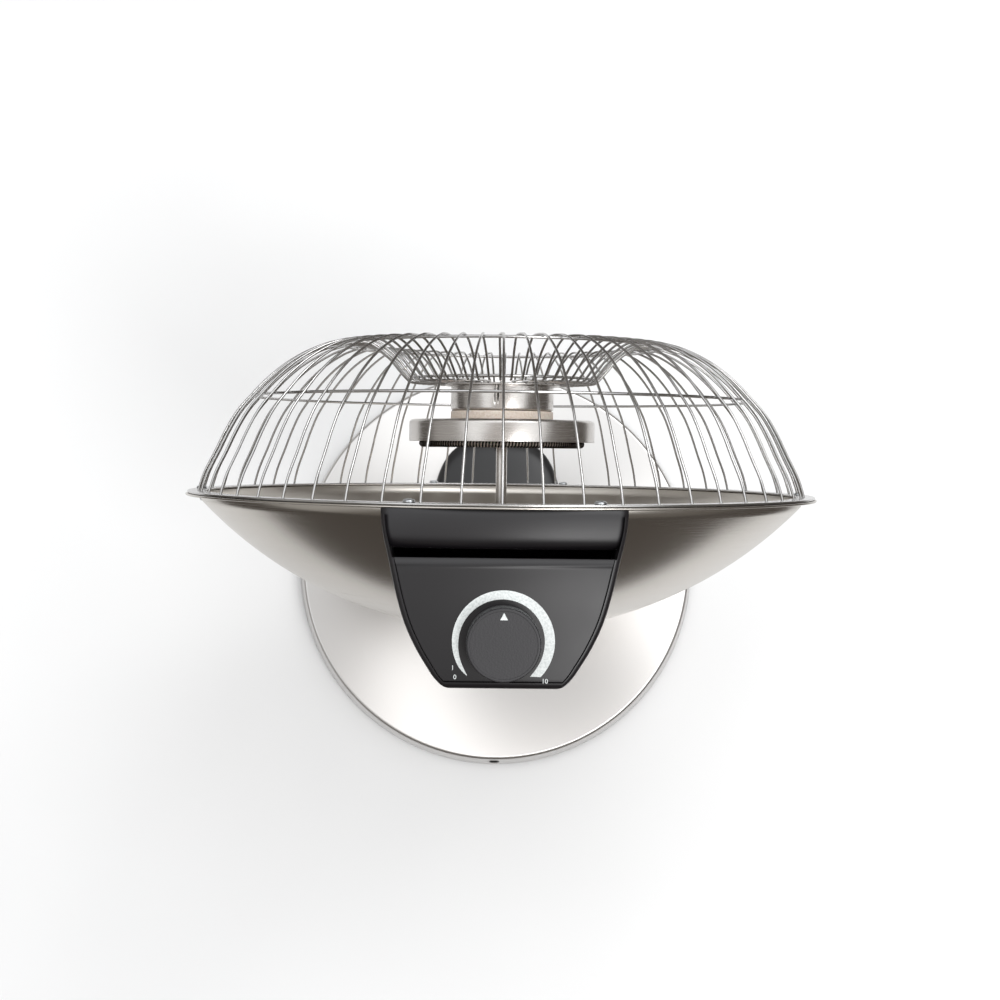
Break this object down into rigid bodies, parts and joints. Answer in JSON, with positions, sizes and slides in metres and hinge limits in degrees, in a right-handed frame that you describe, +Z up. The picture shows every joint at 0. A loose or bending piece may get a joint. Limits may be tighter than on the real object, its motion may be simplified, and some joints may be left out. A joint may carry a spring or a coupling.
{
  "type": "parabolic heater",
  "caption": "Parabolic electric heater: spun steel dish with a domed wire guard and a heating coil at its focus, tilting on a curved stand over a round weighted base, with a control knob.",
  "frame": {"origin": "on the floor under the centre of the round base", "axes": "+Z up, the dish faces -Y and looks 10 degrees up at rest, +X to the right as seen from behind"},
  "size_m": [0.4, 0.338, 0.5341],
  "materials": {
    "brushed_steel": "satin, fine brushing",
    "spun_steel": "spun, bright satin with warm reflections",
    "plated_wire": "bright plated wire",
    "fixings": "bright zinc plate",
    "black_plastic": "satin black moulding, fine grain",
    "knob_plastic": "dark grey moulding, fine grain",
    "ceramic": "unglazed beige",
    "coil_alloy": "oxidised resistance wire",
    "structural_steel": "dark coated pressed steel",
    "cast_iron": "rough cast",
    "rubber": "matt black",
    "brass": "plain brass"
  },
  "bodies": {
    "base": {"base_cover": "brushed_steel", "base_bottom_plate": "structural_steel", "counterweight": "cast_iron", "cord_bush": "rubber", "foot_1": "rubber", "foot_2": "rubber", "foot_3": "rubber", "foot_4": "rubber", "tip_switch": "black_plastic", "support_arm": "structural_steel", "stand_bolt_1": "fixings", "stand_bolt_2": "fixings", "stand_bolt_3": "fixings", "stand_bolt_4": "fixings", "stand_front_shell": "black_plastic", "stand_rear_shell": "black_plastic"},
    "head": {"reflector_dish": "spun_steel", "guard_cage": "plated_wire", "guard_mid_ring": "plated_wire", "guard_crest_ring": "plated_wire", "guard_recess_ring": "plated_wire", "guard_centre_plate": "plated_wire", "rim_screw_1": "fixings", "rim_screw_2": "fixings", "rim_screw_3": "fixings", "rim_screw_4": "fixings", "rim_screw_5": "fixings", "rim_screw_6": "fixings", "element_post": "fixings", "coil_former": "ceramic", "heating_coil": "coil_alloy", "coil_terminal_1": "brass", "coil_terminal_2": "brass", "element_cap": "brushed_steel", "ceramic_spacer": "ceramic", "element_cup": "brushed_steel", "element_nut": "fixings", "post_nut": "fixings", "tilt_bracket": "structural_steel", "hinge_pin": "fixings", "hinge_nut": "fixings", "friction_washer_1": "brass", "friction_washer_2": "brass", "control_housing": "black_plastic", "control_fascia": "black_plastic", "power_controller": "structural_steel", "thermal_cutout": "brass", "terminal_block": "ceramic"},
    "knob": {"power_knob": "knob_plastic", "knob_shaft": "fixings"},
    "plunger": {"tip_plunger": "black_plastic"}
  },
  "joints": [
    {"name": "head_tilt", "type": "hinge", "parent": "base", "child": "head", "pos_m": [0, 0.08596, 0.29997], "axis": [-1, 0, 0], "range_deg": [-10, 20]},
    {"name": "knob_turn", "type": "hinge", "parent": "head", "child": "knob", "pos_m": [0, 0.0858, 0.51588], "axis": [0, 0.1736, 0.9848], "range_deg": [-135, 135]},
    {"name": "tip_press", "type": "slide", "parent": "base", "child": "plunger", "axis": [0, 0, -1], "range_m": [0, 0.004], "stiffness_N_per_m": 60, "springref_m": 0.006}
  ]
}
